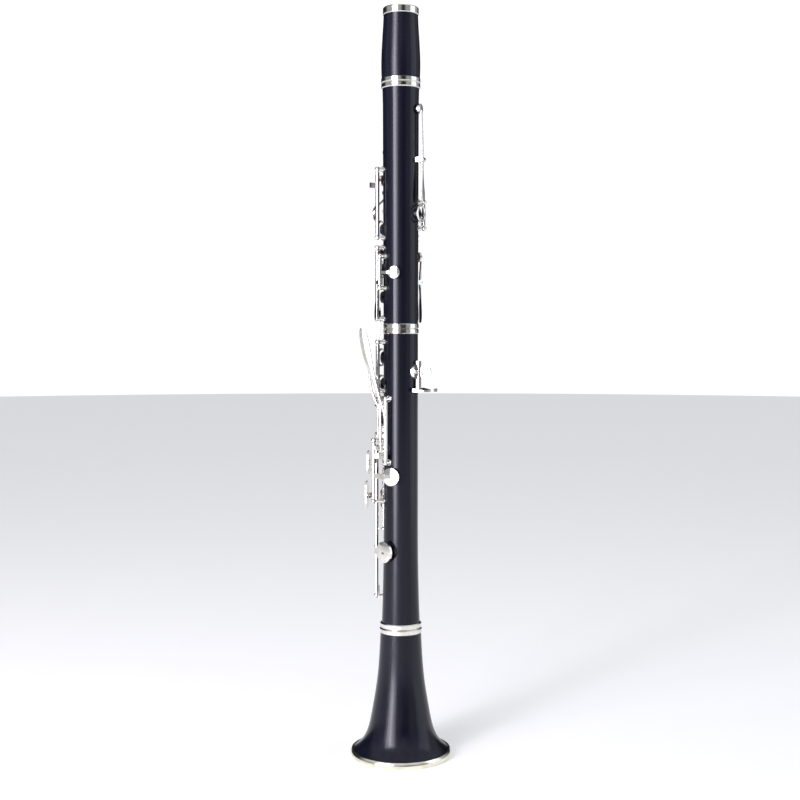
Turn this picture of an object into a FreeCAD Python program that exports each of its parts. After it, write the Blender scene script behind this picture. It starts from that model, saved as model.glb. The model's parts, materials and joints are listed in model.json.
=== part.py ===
import FreeCAD, Part
import math
import os
import Sketcher

# A B flat clarinet in four wooden joints, without its mouthpiece, standing on its bell.
# Frame: millimetres, origin at the centre of the bell's rim, +Z up the bore. The finger holes face -Y, the thumb
# hole faces +Y and the player's left hand side is +X. Angles about the bore run from +X towards +Y.
# Heights on the upper and lower joint are measured from that joint's own lower shoulder.

Vector = FreeCAD.Vector

SIZES = [
    # shoulder to shoulder lengths
    ("bell_length", 101.0), ("lower_length", 236.0), ("upper_length", 194.0), ("barrel_length", 60.0),
    # the lengths that the key heights were laid out for: the keywork stretches with its joint
    ("lower_layout", 236.0), ("upper_layout", 194.0),
    # bore, tenons and sockets
    ("bore_r", 7.3), ("barrel_bore_r", 7.5), ("lower_bore_end_r", 10.2), ("bell_throat_r", 11.0),
    ("socket_r", 11.2), ("socket_depth", 17.0), ("bell_socket_r", 12.6), ("bell_socket_depth", 19.0),
    ("tenon_clearance", 0.10), ("tenon_end_gap", 0.5), ("cork_clearance", 0.05), ("cork_depth", 0.9),
    ("cork_land", 3.0), ("cork_seat_gap", 0.02),
    # outside radii of the wood
    ("barrel_top_r", 13.7), ("barrel_belly_r", 15.5), ("barrel_foot_r", 15.2), ("barrel_belly_height", 16.0),
    ("upper_head_r", 14.6), ("upper_neck_r", 14.3), ("upper_foot_r", 13.7), ("neck_drop", 12.0),
    ("lower_body_r", 13.6), ("lower_flare_r", 14.0), ("lower_foot_r", 15.0), ("lower_flare_height", 75.0),
    ("bell_neck_r", 16.1), ("bell_waist_r", 18.5), ("bell_flare_r", 23.0), ("bell_lip_r", 28.6),
    ("bell_rim_r", 40.0),
    ("bell_waist_height", 62.0), ("bell_flare_height", 34.0), ("bell_lip_height", 15.0),
    ("bell_wall", 4.2), ("bell_lip_wall", 2.0),
    # metal rings
    ("ring_wall", 1.5), ("ring_bevel", 0.7), ("ring_height", 4.2), ("ring_seat_gap", 0.02),
    ("barrel_top_ring_r", 14.2), ("barrel_top_ring_height", 6.0), ("barrel_foot_ring_r", 15.6),
    ("upper_head_ring_r", 15.5), ("mid_ring_r", 14.1), ("lower_foot_ring_r", 16.3), ("bell_top_ring_r", 16.7),
    ("rim_ring_height", 5.5), ("rim_ring_wall", 2.4),
    # hinges
    ("rod_r", 0.9), ("rod_clearance", 0.05), ("tube_r", 1.6), ("ball_r", 2.1), ("stem_r", 1.2), ("foot_r", 2.4),
    ("foot_height", 0.9), ("hinge_gap", 0.3), ("rod_lift", 4.7), ("cheek", 1.2), ("lever_half_boss", 1.5),
    ("boss_r", 1.8), ("spring_r", 0.3), ("spring_length", 6.5),
    # cups, pads and raised seats
    ("seat_lift", 1.0), ("seat_wall", 0.2), ("chimney_lift", 2.2), ("seat_lip", 1.0), ("pad_overlap", 0.8),
    ("pad_thick", 1.7),
    ("pad_seat_gap", 0.15), ("pad_show", 0.6), ("pad_clearance", 0.05), ("cup_wall", 0.6), ("cup_dome", 0.7),
    ("l1_open", 4.7), ("l2_open", 5.4), ("f_c_open", 7.0), ("e_b_open", 6.0),
    # plate work
    ("arm_thick", 1.3), ("arm_width", 3.2), ("touch_thick", 1.3), ("ring_key_r", 6.55),
    ("ring_key_wire", 0.9), ("ring_key_lift", 3.6), ("chimney_wall", 0.9),
    # thumb rest
    ("thumb_rest_height", 202.0), ("thumb_plate_r", 7.0), ("thumb_plate_thick", 1.0), ("hook_width", 20.0),
    ("hook_reach", 16.5), ("hook_thick", 2.6), ("strap_hole_r", 3.4), ("strap_ring_wall", 1.3),
    ("strap_ring_width", 1.8),
]

doc = FreeCAD.newDocument("clarinet")
sheet = doc.addObject("Spreadsheet::Sheet", "Dims")
for row, (name, value) in enumerate(SIZES, start=1):
    sheet.set("A%d" % row, name)
    sheet.set("B%d" % row, str(value))
    sheet.setAlias("B%d" % row, name)
doc.recompute()


class Dims:
    """The sheet's cells as plain numbers."""

    def __getattr__(self, name):
        return float(getattr(sheet, name))


d = Dims()
LOWER_FOOT = "Dims.bell_length"
UPPER_FOOT = "(Dims.bell_length + Dims.lower_length)"
BARREL_FOOT = "(Dims.bell_length + Dims.lower_length + Dims.upper_length)"
TOP = "(Dims.bell_length + Dims.lower_length + Dims.upper_length + Dims.barrel_length)"
lower_foot = d.bell_length
upper_foot = lower_foot + d.lower_length
upper_bed = (d.upper_foot_r + d.upper_neck_r) / 2
lower_bed = d.lower_body_r
hole_in_tube = d.rod_r + d.rod_clearance
nodes = []


def up(height):
    """Height in the frame of a place laid out on the upper joint."""
    return upper_foot + height * d.upper_length / d.upper_layout


def low(height):
    """Height in the frame of a place laid out on the lower joint."""
    return lower_foot + height * d.lower_length / d.lower_layout


# ---------------------------------------------------------------- turned pieces


def turned(label, outline, curves=None):
    """A lathe-turned piece: a closed outline of (radius, height) formulas turned about the bore.

    curves gives an edge's in-between (radius, height) formulas, by the number of the corner it starts at.
    """
    curves = curves or {}
    body = doc.addObject("PartDesign::Body", label)
    body.Label = label
    sketch = body.newObject("Sketcher::SketchObject", label + "_outline")
    plane = [f for f in body.Origin.OriginFeatures if f.Role == "XZ_Plane"][0]
    sketch.AttachmentSupport = [(plane, "")]
    sketch.MapMode = "FlatFace"
    corners = [Vector(sheet.evalExpression(r), sheet.evalExpression(z), 0) for r, z in outline]
    count = len(corners)
    for i in range(count):
        start = corners[i]
        end = corners[(i + 1) % count]
        if i in curves:
            between = [Vector(sheet.evalExpression(r), sheet.evalExpression(z), 0) for r, z in curves[i]]
            spline = Part.BSplineCurve()
            spline.interpolate([start] + between + [end])
            sketch.addGeometry(spline, False)
        else:
            sketch.addGeometry(Part.LineSegment(start, end), False)
    for i in range(count):
        sketch.addConstraint(Sketcher.Constraint("Coincident", i, 2, (i + 1) % count, 1))
    for i, (r, z) in enumerate(outline):
        at_r = sketch.addConstraint(Sketcher.Constraint("DistanceX", -1, 1, i, 1, corners[i].x))
        sketch.setExpression("Constraints[%d]" % at_r, r)
        if abs(corners[i].y) < 1e-9:
            sketch.addConstraint(Sketcher.Constraint("PointOnObject", i, 1, -1))
        else:
            at_z = sketch.addConstraint(Sketcher.Constraint("DistanceY", -1, 1, i, 1, corners[i].y))
            sketch.setExpression("Constraints[%d]" % at_z, z)
    revolve = body.newObject("PartDesign::Revolution", label + "_turning")
    revolve.Profile = sketch
    revolve.ReferenceAxis = (sketch, ["V_Axis"])
    revolve.Angle = 360
    return body


def metal_ring(label, outer, foot, height):
    """A flat band with both outer edges bevelled, around the wood's seat."""
    top = "%s + %s" % (foot, height)
    inner = "%s - Dims.ring_wall" % outer
    bevelled = "%s - Dims.ring_bevel" % outer
    return turned(label, [
        (inner, foot), (bevelled, foot), (outer, foot + " + Dims.ring_bevel"),
        (outer, top + " - Dims.ring_bevel"), (bevelled, top), (inner, top)])


def seat(outer):
    """Radius of the wood under a ring."""
    return outer + " - Dims.ring_wall - Dims.ring_seat_gap"


def cork(label, radius, low_z, high_z):
    """A cork sleeve in its groove, proud of the tenon and just clear of the socket."""
    inner = "%s - Dims.tenon_clearance - Dims.cork_depth + Dims.cork_seat_gap" % radius
    outer = "%s - Dims.cork_clearance" % radius
    return turned(label, [
        (inner, low_z + " + Dims.cork_seat_gap"), (outer, low_z + " + Dims.cork_seat_gap"),
        (outer, high_z + " - Dims.cork_seat_gap"), (inner, high_z + " - Dims.cork_seat_gap")])


def group(label, members):
    """Separate solids of one kind, kept in one node."""
    compound = doc.addObject("Part::Compound", label)
    compound.Label = label
    compound.Links = members
    return compound


TENON_R = "Dims.socket_r - Dims.tenon_clearance"
TENON_GROOVE_R = "Dims.socket_r - Dims.tenon_clearance - Dims.cork_depth"
TENON_LENGTH = "(Dims.socket_depth - Dims.tenon_end_gap)"
FOOT_TENON_R = "Dims.bell_socket_r - Dims.tenon_clearance"
FOOT_GROOVE_R = "Dims.bell_socket_r - Dims.tenon_clearance - Dims.cork_depth"
FOOT_TENON_LENGTH = "(Dims.bell_socket_depth - Dims.tenon_end_gap)"


def make_bell():
    """The bell: a flared cup whose wall thins towards the rim, with the lower joint's socket in its neck."""
    ring_foot = "Dims.bell_length - Dims.ring_height"
    rim_seat = "Dims.bell_rim_r - Dims.rim_ring_wall - Dims.ring_seat_gap"
    return turned("bell", [
        (seat("Dims.bell_rim_r - 1"), "0 * Dims.bell_length"),
        (rim_seat, "0 * Dims.bell_length"),
        (rim_seat, "Dims.rim_ring_height"),
        ("Dims.bell_neck_r", ring_foot),
        (seat("Dims.bell_top_ring_r"), ring_foot),
        (seat("Dims.bell_top_ring_r"), "Dims.bell_length"),
        ("Dims.bell_socket_r", "Dims.bell_length"),
        ("Dims.bell_socket_r", "Dims.bell_length - Dims.bell_socket_depth"),
        ("Dims.bell_throat_r", "Dims.bell_length - Dims.bell_socket_depth"),
    ], {
        2: [("Dims.bell_lip_r", "Dims.bell_lip_height"), ("Dims.bell_flare_r", "Dims.bell_flare_height"),
            ("Dims.bell_waist_r", "Dims.bell_waist_height")],
        8: [("Dims.bell_waist_r - Dims.bell_wall", "Dims.bell_waist_height"),
            ("Dims.bell_flare_r - Dims.bell_wall", "Dims.bell_flare_height"),
            ("Dims.bell_lip_r - Dims.bell_lip_wall", "Dims.bell_lip_height - Dims.bell_lip_wall")],
    })


def make_rim_ring():
    """The rounded ring that the instrument stands on."""
    inner = "Dims.bell_rim_r - Dims.rim_ring_wall"
    height = "Dims.rim_ring_height"
    return turned("bell_rim_ring", [
        (inner, "0 * Dims.bell_length"), ("Dims.bell_rim_r - 1.2", "0 * Dims.bell_length"),
        ("Dims.bell_rim_r - 1.2", height), (inner, height),
    ], {1: [("Dims.bell_rim_r", height + " / 2")]})


def make_lower_turning():
    """The lower joint's turning: socket at the top, cylinder, flare, and the bell tenon with its cork groove."""
    top = UPPER_FOOT
    foot = LOWER_FOOT
    end = "%s - %s" % (foot, FOOT_TENON_LENGTH)
    return turned("lower_joint_turning", [
        ("Dims.lower_bore_end_r", end),
        (FOOT_TENON_R, end),
        (FOOT_TENON_R, end + " + Dims.cork_land"),
        (FOOT_GROOVE_R, end + " + Dims.cork_land"),
        (FOOT_GROOVE_R, foot + " - Dims.cork_land"),
        (FOOT_TENON_R, foot + " - Dims.cork_land"),
        (FOOT_TENON_R, foot),
        (seat("Dims.lower_foot_ring_r"), foot),
        (seat("Dims.lower_foot_ring_r"), foot + " + Dims.ring_height"),
        ("Dims.lower_foot_r", foot + " + Dims.ring_height"),
        ("Dims.lower_body_r", foot + " + Dims.lower_flare_height"),
        ("Dims.lower_body_r", top + " - Dims.ring_height"),
        (seat("Dims.mid_ring_r"), top + " - Dims.ring_height"),
        (seat("Dims.mid_ring_r"), top),
        ("Dims.socket_r", top),
        ("Dims.socket_r", top + " - Dims.socket_depth"),
        ("Dims.bore_r", top + " - Dims.socket_depth"),
        ("Dims.bore_r", foot + " + Dims.lower_flare_height"),
    ], {9: [("Dims.lower_flare_r", foot + " + Dims.lower_flare_height / 2")]})


def make_upper_turning():
    """The upper joint's turning: a cork-grooved tenon at each end and a slightly wider neck."""
    top = BARREL_FOOT
    foot = UPPER_FOOT
    low_end = "%s - %s" % (foot, TENON_LENGTH)
    high_end = "%s + %s" % (top, TENON_LENGTH)
    return turned("upper_joint_turning", [
        ("Dims.bore_r", low_end),
        (TENON_R, low_end),
        (TENON_R, low_end + " + Dims.cork_land"),
        (TENON_GROOVE_R, low_end + " + Dims.cork_land"),
        (TENON_GROOVE_R, foot + " - Dims.cork_land"),
        (TENON_R, foot + " - Dims.cork_land"),
        (TENON_R, foot),
        (seat("Dims.mid_ring_r"), foot),
        (seat("Dims.mid_ring_r"), foot + " + Dims.ring_height"),
        ("Dims.upper_foot_r", foot + " + Dims.ring_height"),
        ("Dims.upper_neck_r", top + " - Dims.ring_height - Dims.neck_drop"),
        ("Dims.upper_head_r", top + " - Dims.ring_height"),
        (seat("Dims.upper_head_ring_r"), top + " - Dims.ring_height"),
        (seat("Dims.upper_head_ring_r"), top),
        (TENON_R, top),
        (TENON_R, top + " + Dims.cork_land"),
        (TENON_GROOVE_R, top + " + Dims.cork_land"),
        (TENON_GROOVE_R, high_end + " - Dims.cork_land"),
        (TENON_R, high_end + " - Dims.cork_land"),
        (TENON_R, high_end),
        ("Dims.bore_r", high_end),
    ])


def make_barrel():
    """The barrel: a swelling sleeve with a socket at each end."""
    foot = BARREL_FOOT
    top_ring_foot = TOP + " - Dims.barrel_top_ring_height"
    return turned("barrel", [
        ("Dims.socket_r", foot),
        (seat("Dims.barrel_foot_ring_r"), foot),
        (seat("Dims.barrel_foot_ring_r"), foot + " + Dims.ring_height"),
        ("Dims.barrel_foot_r", foot + " + Dims.ring_height"),
        ("Dims.barrel_top_r", top_ring_foot),
        (seat("Dims.barrel_top_ring_r"), top_ring_foot),
        (seat("Dims.barrel_top_ring_r"), TOP),
        ("Dims.socket_r", TOP),
        ("Dims.socket_r", TOP + " - Dims.socket_depth"),
        ("Dims.barrel_bore_r", TOP + " - Dims.socket_depth"),
        ("Dims.barrel_bore_r", foot + " + Dims.socket_depth"),
        ("Dims.socket_r", foot + " + Dims.socket_depth"),
    ], {3: [("Dims.barrel_belly_r", foot + " + Dims.barrel_belly_height"),
            ("(Dims.barrel_belly_r + Dims.barrel_top_r) / 2", foot + " + Dims.barrel_length * 0.62")]})


def radial_cylinder(name, radius, low_r, high_r, angle, height):
    """A cylinder that points straight out from the bore; radius is a formula, the rest are numbers."""
    piece = doc.addObject("Part::Cylinder", name)
    piece.setExpression("Radius", radius)
    piece.Height = high_r - low_r
    out = Vector(math.cos(math.radians(angle)), math.sin(math.radians(angle)), 0)
    place = out * low_r + Vector(0, 0, height)
    piece.Placement = FreeCAD.Placement(place, FreeCAD.Rotation(Vector(0, 0, 1), out))
    return piece


def drilled(label, turning, bed, holes):
    """The turning with a raised seat round each tone hole, and the holes drilled into the bore.

    holes holds (name, angle, height, hole radius formula, seat wall formula, lift above the wood).
    """
    seats = []
    drills = []
    for name, angle, height, hole_r, wall, lift in holes:
        seat_r = "%s + %s" % (hole_r, wall)
        foot = d.socket_r + d.seat_wall
        seats.append(radial_cylinder(name + "_seat", seat_r, foot, bed + lift, angle, height))
        drills.append(radial_cylinder(name + "_drill", hole_r, 0, bed + lift + d.ring_key_lift, angle, height))
    raised = doc.addObject("Part::MultiFuse", label + "_with_seats")
    raised.Shapes = [turning] + seats
    cutters = doc.addObject("Part::MultiFuse", label + "_drills")
    cutters.Shapes = drills
    wood = doc.addObject("Part::Cut", label)
    wood.Label = label
    wood.Base = raised
    wood.Tool = cutters
    return wood


# ---------------------------------------------------------------- keywork shapes
# Keys are bent and soldered pieces that follow the round of the wood, so they are made with Part's own functions.
# Each shape is laid out in the plane through the bore at angle 0, with X outward and Y along the round of the
# wood, and is then turned to its angle.


def turn(shape, angle):
    """The shape turned about the bore from angle 0 to its own angle."""
    shape.rotate(Vector(0, 0, 0), Vector(0, 0, 1), angle)
    return shape


def polar(radius, angle, height):
    return Vector(radius * math.cos(math.radians(angle)), radius * math.sin(math.radians(angle)), height)


def fuse(pieces):
    return pieces[0].multiFuse(pieces[1:]) if len(pieces) > 1 else pieces[0]


def block(r, half_width, low_z, high_z, depth):
    """A plain block: its inner face at r, depth outward."""
    return Part.makeBox(depth, 2 * half_width, high_z - low_z, Vector(r, -half_width, low_z))


def rod_along(at_r, angle, low_z, high_z, size):
    """A cylinder parallel to the bore."""
    return Part.makeCylinder(size, high_z - low_z, polar(at_r, angle, low_z))


def rod_across(at_r, angle, height, half_length, size):
    """A cylinder along the round of the wood."""
    bar = Part.makeCylinder(size, 2 * half_length, Vector(at_r, -half_length, height), Vector(0, 1, 0))
    return turn(bar, angle)


def arm(start_r, start_angle, end_r, end_angle, mid_z, width, thick=None):
    """A bar bent round the wood, from one radius and angle to another."""
    half = (thick or d.arm_thick) / 2
    steps = 4
    inner = []
    outer = []
    for i in range(steps + 1):
        share = i / steps
        radius = start_r + (end_r - start_r) * share
        angle = start_angle + (end_angle - start_angle) * share
        inner.append(polar(radius - half, angle, mid_z - width / 2))
        outer.append(polar(radius + half, angle, mid_z - width / 2))
    inner_edge = Part.BSplineCurve()
    inner_edge.interpolate(inner)
    outer_edge = Part.BSplineCurve()
    outer_edge.interpolate(outer)
    edges = [inner_edge.toShape(), Part.makeLine(inner[-1], outer[-1]), outer_edge.toShape(),
             Part.makeLine(outer[0], inner[0])]
    face = Part.Face(Part.Wire(Part.__sortEdges__(edges)))
    return face.extrude(Vector(0, 0, width))


def smooth(stations, steps):
    """Stations with steps - 1 more between each pair, on a smooth line through them all."""
    filled = []
    last = len(stations) - 1
    for i in range(last):
        before = stations[max(i - 1, 0)]
        start = stations[i]
        end = stations[i + 1]
        after = stations[min(i + 2, last)]
        for step in range(steps):
            t = step / steps
            filled.append([
                b + (c - a) * t / 2 + (2 * a - 5 * b + 4 * c - e) * t * t / 2 + (3 * b - a - 3 * c + e) * t ** 3 / 2
                for a, b, c, e in zip(before, start, end, after)])
    filled.append(list(stations[last]))
    return filled


def lever(stations):
    """A forged lever: oval sections (radius, angle, height, width, thickness) skinned from one to the next.

    A sixth value turns the section about its own middle, so that its flat faces further round than it stands.
    """
    wires = []
    circle = Part.Wire([Part.makeCircle(0.5)])
    for radius, angle, height, width, thick, tilt in smooth([(*station, 0)[:6] for station in stations], 3):
        out = polar(1, angle + tilt, 0)
        side = Vector(-out.y, out.x, 0)
        centre = polar(radius, angle, height)
        section = circle.transformGeometry(FreeCAD.Matrix(
            side.x * width, out.x * thick, 0, centre.x,
            side.y * width, out.y * thick, 0, centre.y,
            0, 0, 1, centre.z,
            0, 0, 0, 1))
        wires.append(Part.Wire(section.Edges))
    return Part.makeLoft(wires, True, True)


def paddle(at_r, angle, low_z, high_z, width, thick=None):
    """A touch for a finger: a plate with round ends, gently crowned by its bevelled edge."""
    thick = thick or d.touch_thick
    half = width / 2
    low_c = Vector(at_r, 0, low_z + half)
    high_c = Vector(at_r, 0, high_z - half)
    edges = [
        Part.Arc(low_c + Vector(0, half, 0), low_c + Vector(0, 0, -half), low_c + Vector(0, -half, 0)).toShape(),
        Part.makeLine(low_c + Vector(0, -half, 0), high_c + Vector(0, -half, 0)),
        Part.Arc(high_c + Vector(0, -half, 0), high_c + Vector(0, 0, half), high_c + Vector(0, half, 0)).toShape(),
        Part.makeLine(high_c + Vector(0, half, 0), low_c + Vector(0, half, 0)),
    ]
    plate = Part.Face(Part.Wire(Part.__sortEdges__(edges))).extrude(Vector(thick, 0, 0))
    rims = [e for e in plate.Edges if abs(e.CenterOfMass.x - at_r - thick) < 0.01]
    return turn(plate.makeFillet(thick * 0.4, rims), angle)


def turned_about_out(profile, angle, height):
    """An outline of edges in the outward and sideways directions, turned about the outward line."""
    face = Part.Face(Part.Wire(profile))
    solid = face.revolve(Vector(0, 0, 0), Vector(1, 0, 0), 360)
    solid.translate(Vector(0, 0, height))
    return turn(solid, angle)


def cup(level, radius, angle, height):
    """A pad cup with a spherical dome, whose pad faces inward at the given level."""
    inner = radius - d.cup_wall
    lip = level + d.pad_show
    floor = level + d.pad_thick
    top = floor + d.cup_wall
    ball = (radius ** 2 + d.cup_dome ** 2) / (2 * d.cup_dome)
    centre = top + d.cup_dome - ball
    half = math.asin(radius / ball) / 2
    points = [Vector(lip, inner, 0), Vector(lip, radius, 0), Vector(top, radius, 0),
              Vector(top + d.cup_dome, 0, 0), Vector(floor, 0, 0), Vector(floor, inner, 0)]
    midway = Vector(centre + ball * math.cos(half), ball * math.sin(half), 0)
    dome = Part.Arc(points[2], midway, points[3]).toShape()
    lines = [Part.makeLine(points[0], points[1]), Part.makeLine(points[1], points[2]), dome,
             Part.makeLine(points[3], points[4]), Part.makeLine(points[4], points[5]),
             Part.makeLine(points[5], points[0])]
    return turned_about_out(lines, angle, height)


def pad(level, radius, angle, height):
    """The skin-covered felt pad in its cup, with a rounded edge."""
    size = radius - d.cup_wall - d.pad_clearance
    floor = level + d.pad_thick
    soft = d.pad_show * 0.8
    points = [Vector(level, 0, 0), Vector(level, size - soft, 0), Vector(level + soft, size, 0),
              Vector(floor, size, 0), Vector(floor, 0, 0)]
    middle = Vector(level + soft * 0.29, size - soft * 0.29, 0)
    edges = [Part.makeLine(points[0], points[1]), Part.Arc(points[1], middle, points[2]).toShape(),
             Part.makeLine(points[2], points[3]), Part.makeLine(points[3], points[4]),
             Part.makeLine(points[4], points[0])]
    return turned_about_out(edges, angle, height)


def ring_key_ring(bed, angle, height):
    """The ring that a finger presses down round a hole."""
    ring = Part.makeTorus(d.ring_key_r, d.ring_key_wire, Vector(bed + d.ring_key_lift, 0, height), Vector(1, 0, 0))
    return turn(ring, angle)


def post(wood, bed, angle, rod_r_place, height):
    """A turned post: a foot on the wood, a tapered stem and a ball that the rod goes through."""
    foot = Part.makeCylinder(d.foot_r, d.foot_height + 1, Vector(bed - 1, 0, height), Vector(1, 0, 0))
    stem = Part.makeCone(d.stem_r * 1.5, d.stem_r, rod_r_place - bed - d.foot_height,
                         Vector(bed + d.foot_height, 0, height), Vector(1, 0, 0))
    ball = Part.makeSphere(d.ball_r, Vector(rod_r_place, 0, height))
    shape = turn(fuse([foot, stem, ball]), angle)
    hole = rod_along(rod_r_place, angle, height - 2 * d.ball_r, height + 2 * d.ball_r, d.rod_r)
    return shape.cut(hole).cut(wood)


def saddle(wood, bed, angle, pin_r, height):
    """A saddle for a rocking lever: a foot plate with two cheeks that the pin goes through."""
    inner_half = d.lever_half_boss + d.hinge_gap / 2
    outer_half = inner_half + d.cheek
    half_z = d.boss_r
    plate = block(bed - 1, outer_half, height - half_z, height + half_z, 1 + d.foot_height)
    pieces = [plate]
    for side in (-1, 1):
        middle = side * (inner_half + d.cheek / 2)
        cheek = Part.makeBox(pin_r - bed + 1, d.cheek, 2 * half_z,
                             Vector(bed - 1, middle - d.cheek / 2, height - half_z))
        crown = Part.makeCylinder(half_z, d.cheek, Vector(pin_r, middle - d.cheek / 2, height), Vector(0, 1, 0))
        pieces += [cheek, crown]
    shape = turn(fuse(pieces), angle)
    return shape.cut(rod_across(pin_r, angle, height, outer_half + 1, d.rod_r)).cut(wood)


def shape_node(label, shape):
    """A sub-part whose shape is made by Part's own functions from the sheet's sizes."""
    feature = doc.addObject("Part::Feature", label)
    feature.Label = label
    feature.Shape = shape
    nodes.append(feature)
    return feature


class Hinge:
    """A key's hinge along the bore: a tube that turns on a rod between two posts."""

    def __init__(self, bed, lift, angle, low_z, high_z):
        self.bed = bed
        self.r = bed + lift
        self.angle = angle
        self.low_z = low_z
        self.high_z = high_z
        self.reach = d.ball_r + d.hinge_gap

    def tube(self):
        return rod_along(self.r, self.angle, self.low_z + self.reach, self.high_z - self.reach, d.tube_r)

    def rod(self):
        return rod_along(self.r, self.angle, self.low_z - d.stem_r, self.high_z + d.stem_r, d.rod_r)

    def bore(self):
        return rod_along(self.r, self.angle, self.low_z - d.foot_r, self.high_z + d.foot_r, hole_in_tube)

    def posts(self, wood):
        return [post(wood, self.bed, self.angle, self.r, z) for z in (self.low_z, self.high_z)]

    def spring(self):
        """The needle spring, which leaves the lower post under the tube."""
        under = self.r - d.tube_r - 2 * d.spring_r
        low_z = self.low_z + d.ball_r
        return rod_along(under, self.angle, low_z, low_z + d.spring_length, d.spring_r)


class Rocker:
    """A rocking lever's hinge: a boss on a pin across the lever, between a saddle's cheeks."""

    def __init__(self, bed, lift, angle, height):
        self.bed = bed
        self.r = bed + lift
        self.angle = angle
        self.z = height

    def boss(self):
        return rod_across(self.r, self.angle, self.z, d.lever_half_boss, d.boss_r)

    def rod(self):
        half = d.lever_half_boss + d.hinge_gap / 2 + d.cheek
        return rod_across(self.r, self.angle, self.z, half, d.rod_r)

    def bore(self):
        return rod_across(self.r, self.angle, self.z, 2 * d.lever_half_boss, hole_in_tube)

    def posts(self, wood):
        return [saddle(wood, self.bed, self.angle, self.r, self.z)]


def cup_radius(hole_r):
    """Outside radius of the cup that covers a tone hole."""
    return hole_r + d.seat_lip + d.pad_overlap + d.cup_wall


def pad_level(bed):
    """Radius of a closed pad's face, just off its seat."""
    return bed + d.seat_lift + d.pad_seat_gap


def cup_top(bed):
    """Radius of an arm's middle where it crosses a closed cup: its outer half stands clear of the dome."""
    return pad_level(bed) + d.pad_thick + d.cup_wall + d.cup_dome / 2


def swing(shape, hinge, degrees):
    """The shape turned about its hinge: a key that stands open is laid out closed, then opened."""
    shape.rotate(polar(hinge.r, hinge.angle, 0), Vector(0, 0, 1), degrees)
    return shape


def key(label, hinge, pieces, covers=None, reach=None, open_by=0):
    """A key: its tube or boss fused with its arms, ring and touch, bored for the rod.

    covers names the tone hole under its cup, whose pad is a node of its own; reach is the arm to that cup.
    """
    own = hinge.tube() if isinstance(hinge, Hinge) else hinge.boss()
    parts = [own] + pieces
    if covers:
        bed, angle, height, hole_r = HOLES[covers]
        level = pad_level(bed)
        radius = cup_radius(hole_r)
        parts.append(swing(cup(level, radius, angle, height), hinge, open_by))
        if reach:
            parts.append(swing(reach, hinge, open_by))
    shape = fuse(parts).cut(hinge.bore())
    if covers:
        below = Vector(level - 1, 0, height)
        pocket = Part.makeCylinder(radius - d.cup_wall, d.pad_thick + 1, below, Vector(1, 0, 0))
        shape = shape.cut(swing(turn(pocket, angle), hinge, open_by))
        pad_label = covers + "_pad"
        shape_node(pad_label, swing(pad(level, radius, angle, height), hinge, open_by))
    return shape_node(label, shape)


# ---------------------------------------------------------------- tone holes
# (name, angle, height, hole radius, is it a finger hole?)

FRONT = -90
THUMB = 90
UPPER_HOLES = [
    ("register", THUMB, up(173), 1.6, False),
    ("throat_a", -116, up(141), 2.3, False),
    ("throat_gsharp", -92, up(118), 1.9, False),
    ("l1_vent", -116, up(94), 1.8, False),
    ("thumb", THUMB, up(90.5), 3.4, True),
    ("l1", FRONT, up(79), 3.4, True),
    ("l2_vent", -88, up(60.5), 2.4, False),
    ("l2", FRONT, up(47), 3.6, True),
    ("csharp_gsharp", 6.5, up(44), 2.35, False),
    ("eflat_sliver", -149, up(36), 1.7, False),
    ("l3", FRONT, up(25), 3.8, True),
    ("side_trill_1", 143.5, up(57), 1.5, False),
    ("side_trill_2", 158.5, up(72), 1.5, False),
    ("side_trill_3", 168.5, up(143), 1.8, False),
    ("side_trill_4", 191.5, up(158), 1.8, False),
]
LOWER_HOLES = [
    ("r1", FRONT, low(213), 3.9, True),
    ("r2", FRONT, low(192), 3.9, True),
    ("b_fsharp_sliver", -157, low(178.5), 2.0, False),
    ("r3", FRONT, low(165), 4.1, True),
    ("fsharp_csharp", -3, low(120), 4.6, False),
    ("gsharp_dsharp", 180, low(121), 3.8, False),
    ("f_c", -150, low(85), 5.1, False),
    ("e_b", -17, low(61), 5.9, False),
]
HOLES = {}
for table, hole_bed in ((UPPER_HOLES, upper_bed), (LOWER_HOLES, lower_bed)):
    for name, angle, height, hole_r, finger in table:
        HOLES[name] = (hole_bed, angle, height, hole_r)


def hole_rows(table):
    """A table of holes as the rows that drilled() takes."""
    rows = []
    for name, angle, height, hole_r, finger in table:
        wall = "Dims.chimney_wall" if finger else "Dims.seat_lip"
        lift = d.chimney_lift if finger else d.seat_lift
        rows.append((name, angle, height, str(hole_r), wall, lift))
    return rows


# ---------------------------------------------------------------- the wood, rings and corks

bell = make_bell()
rim_ring = make_rim_ring()
bell_top_ring = metal_ring("bell_top_ring", "Dims.bell_top_ring_r", "Dims.bell_length - Dims.ring_height",
                           "Dims.ring_height")
barrel = make_barrel()
lower_turning = make_lower_turning()
upper_turning = make_upper_turning()
lower_wood = drilled("lower_joint", lower_turning, lower_bed, hole_rows(LOWER_HOLES))
upper_wood = drilled("upper_joint", upper_turning, upper_bed, hole_rows(UPPER_HOLES))
barrel_rings = group("barrel_rings", [
    metal_ring("barrel_foot_ring", "Dims.barrel_foot_ring_r", BARREL_FOOT, "Dims.ring_height"),
    metal_ring("barrel_top_ring", "Dims.barrel_top_ring_r", TOP + " - Dims.barrel_top_ring_height",
               "Dims.barrel_top_ring_height")])
upper_rings = group("upper_joint_rings", [
    metal_ring("upper_foot_ring", "Dims.mid_ring_r", UPPER_FOOT, "Dims.ring_height"),
    metal_ring("upper_head_ring", "Dims.upper_head_ring_r", BARREL_FOOT + " - Dims.ring_height",
               "Dims.ring_height")])
lower_rings = group("lower_joint_rings", [
    metal_ring("lower_foot_ring", "Dims.lower_foot_ring_r", LOWER_FOOT, "Dims.ring_height"),
    metal_ring("lower_top_ring", "Dims.mid_ring_r", UPPER_FOOT + " - Dims.ring_height", "Dims.ring_height")])
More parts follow.
